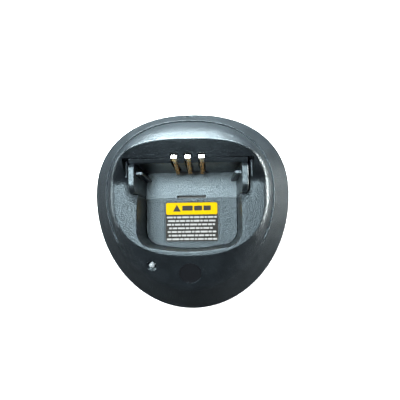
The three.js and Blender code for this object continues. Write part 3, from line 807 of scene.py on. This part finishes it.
def clear_lens(name):
    """Clear plastic that scatters a little of the light in it."""
    made, tree, shader = material(name)
    noise = object_noise(tree, 400, 2)
    tone = ramp(tree, noise.outputs["Fac"], ((0.3, (0.36, 0.40, 0.42)), (0.7, (0.5, 0.55, 0.57))))
    tree.links.new(tone.outputs["Color"], shader.inputs["Base Color"])
    shader.inputs["Roughness"].default_value = 0.12
    shader.inputs["Transmission Weight"].default_value = 0.35
    shader.inputs["Coat Weight"].default_value = 0.5
    bump(tree, shader, noise.outputs["Fac"], 0.05, 0.00005)
    return made


# ------------------------------------------------------------------ stage

CAMERA = dict(place=(9.4, -9.9, 206), turn=(4.36, 1.39, -0.747), sensor=36, lens=30.69)


def camera():
    """Looks down from about 0.2 m above the table, nearly straight, turned in degrees about X, Y and Z."""
    data = bpy.data.cameras.new("camera")
    data.sensor_width = CAMERA["sensor"]
    data.lens = CAMERA["lens"]
    data.clip_start = 0.01
    made = bpy.data.objects.new("camera", data)
    made.location = Vector(CAMERA["place"]) * MM
    made.rotation_euler = [math.radians(a) for a in CAMERA["turn"]]
    bpy.context.scene.collection.objects.link(made)
    bpy.context.scene.camera = made


def area_light(name, place, target, size, power, colour):
    data = bpy.data.lights.new(name, "AREA")
    data.shape = "RECTANGLE"
    data.size, data.size_y = size
    data.energy = power
    data.color = colour
    made = bpy.data.objects.new(name, data)
    made.location = place
    made.rotation_mode = "QUATERNION"
    made.rotation_quaternion = (Vector(target) - Vector(place)).to_track_quat("-Z", "Y")
    bpy.context.scene.collection.objects.link(made)


FLOOR = dict(half=3000, level=-0.05)  # just under the feet, so that no two faces share a plane
WORLD = 0.06  # strength of the light from all round
FLOOR_GLOW = 0.85  # strength of the floor's own light, which keeps it white
LAMPS_AIM = (0, 0, 0.03)
# Name, place in metres, size, power in watts and colour of each lamp.
LIGHTS = (
    ("overhead", (-0.07, 0.08, 0.50), (0.16, 0.16), 4.7, (0.92, 0.98, 1.0)),
    ("overhead_front", (-0.05, -0.08, 0.50), (0.12, 0.10), 0.5, (0.92, 0.98, 1.0)),
    ("rear_low", (-0.08, 0.60, 0.16), (0.60, 0.16), 50.0, (0.92, 0.99, 1.0)),
    ("left_low", (-0.60, 0.08, 0.10), (0.40, 0.10), 5.0, (0.92, 0.99, 1.0)),
    ("right_low", (0.60, 0.05, 0.015), (0.30, 0.03), 14.0, (1.0, 0.98, 0.93)),
)


def stage():
    """A plain white floor, the world and the lamps."""
    half, level = FLOOR["half"], FLOOR["level"]
    corners = [(-half, -half, level), (half, -half, level), (half, half, level), (-half, half, level)]
    floor = new_object("floor", corners, [(0, 1, 2, 3)])
    made, tree, shader = material("floor")
    noise = object_noise(tree, 3, 2)
    tone = ramp(tree, noise.outputs["Fac"], ((0.3, (0.88, 0.88, 0.88)), (0.7, (0.9, 0.9, 0.9))))
    tree.links.new(tone.outputs["Color"], shader.inputs["Base Color"])
    tree.links.new(tone.outputs["Color"], shader.inputs["Emission Color"])
    shader.inputs["Emission Strength"].default_value = FLOOR_GLOW
    shader.inputs["Roughness"].default_value = 0.9
    floor.data.materials.append(made)
    floor.visible_glossy = False
    world = bpy.data.worlds.new("world")
    bpy.context.scene.world = world
    world.use_nodes = True
    world.node_tree.nodes["Background"].inputs["Color"].default_value = (0.9, 0.95, 1.0, 1)
    world.node_tree.nodes["Background"].inputs["Strength"].default_value = WORLD
    for name, place, size, power, colour in LIGHTS:
        area_light(name, place, LAMPS_AIM, size, power, colour)
    bpy.context.scene.view_settings.view_transform = "Standard"


# ------------------------------------------------------------------ assembly

def finish_piece(piece, body, slot, look, *nodes):
    """Gives a piece its look, its body and the nodes it stands in for; slot is not used."""
    if look:
        piece.data.materials.clear()
        piece.data.materials.append(look)
    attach(piece, body)
    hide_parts(*nodes)
    return piece


camera()
stage()

BLACK = (0.007, 0.009, 0.011)
housing_look = spark_eroded("housing_plastic", BLACK, 0.33, 0.8)
insert_look = spark_eroded("insert_plastic", BLACK, 0.33, 0.8, 0.9)
base_look = spark_eroded("base_plastic", BLACK, 0.5, 0.5)
badge_look = plain_plastic("badge_plastic", (0.007, 0.008, 0.010), 0.42, shine=0.25)
lens_look = clear_lens("lens_plastic")
# Gold plating with its heads painted pale as a painted highlight.
contact_look = plated("gold_plating_painted_highlight", (0.95, 0.93, 0.88), 0.16, (0.95, 0.55, 0.2))
steel_look = plated("zinc_plate", (0.62, 0.62, 0.6), 0.3)
rubber_look = plain_plastic("foot_rubber", (0.014, 0.014, 0.015), 0.8, 0.4)
part_look = plain_plastic("component_plastic", (0.02, 0.02, 0.022), 0.5)
board_look = plain_plastic("solder_mask", (0.006, 0.012, 0.01), 0.5)
can_look = plain_plastic("capacitor_sleeve", (0.02, 0.03, 0.12), 0.35)
wire_look = plated("enamelled_copper", (0.7, 0.3, 0.12), 0.3)
yellow_look = plain_plastic("label_film", (0.70, 0.44, 0.0), 0.5, shine=0.02)
ink_look = plain_plastic("label_ink", (0.02, 0.019, 0.016), 0.5, shine=0.1)
white_look = plain_plastic("label_white", (0.46, 0.46, 0.45), 0.5, shine=0.1)
rating_look = plain_plastic("rating_film", (0.45, 0.46, 0.48), 0.4)

body = housing_body()
on_badge = surface_frame(body, BADGE, BADGE["radius"])
on_light = surface_frame(body, LIGHT, LIGHT["dimple"])
housing = top_housing(body, on_badge, on_light)

finish_piece(shaded(housing), "root", "housing", housing_look, "top_housing")
finish_piece(shaded(pocket_insert()), "root", "insert", insert_look, "pocket_insert")
finish_piece(shaded(base_piece()), "root", "base", base_look, "base_plate")
finish_piece(shaded(badge_piece(on_badge)), "root", "badge", badge_look, "blank_badge_disc")
finish_piece(shaded(lens_piece(on_light), 50), "root", "lens", lens_look, "led_light_pipe")
finish_piece(pocket_sticker(yellow_look, ink_look, white_look), "root", "label", None, "pocket_label")
rating_sticker = sticker("rating_sticker", RATING_LOW, RATING_HIGH, 1.5)
finish_piece(shaded(rating_sticker), "root", "rating", rating_look, "rating_label")
for name, x in zip(CONTACT_NAMES, CONTACT_X):
    leaf = shaded(contact_leaf("spring_strip_" + name, x), 60)
    finish_piece(leaf, "leaf_" + name, "contact", contact_look, "contact_leaf_" + name)
for corner in CORNERS:
    foot, screw = "rubber_foot_" + corner, "housing_screw_" + corner
    finish_piece(shaded(foot_piece(foot)), "root", "foot", rubber_look, foot)
    finish_piece(shaded(screw_piece(screw)), "root", "screw", steel_look, screw)

SLOT_LOOKS = {"component": part_look, "board": board_look, "pin": steel_look, "copper_coil": wire_look,
              "capacitor": can_look, "contact": contact_look, "screw": steel_look, "lens": lens_look}
for entry in frame["record"]["subparts"]:
    node = frame["nodes"][entry["node"]]
    if not node.hide_render:
        node.data.materials.clear()
        node.data.materials.append(SLOT_LOOKS[entry["material_slot"]])
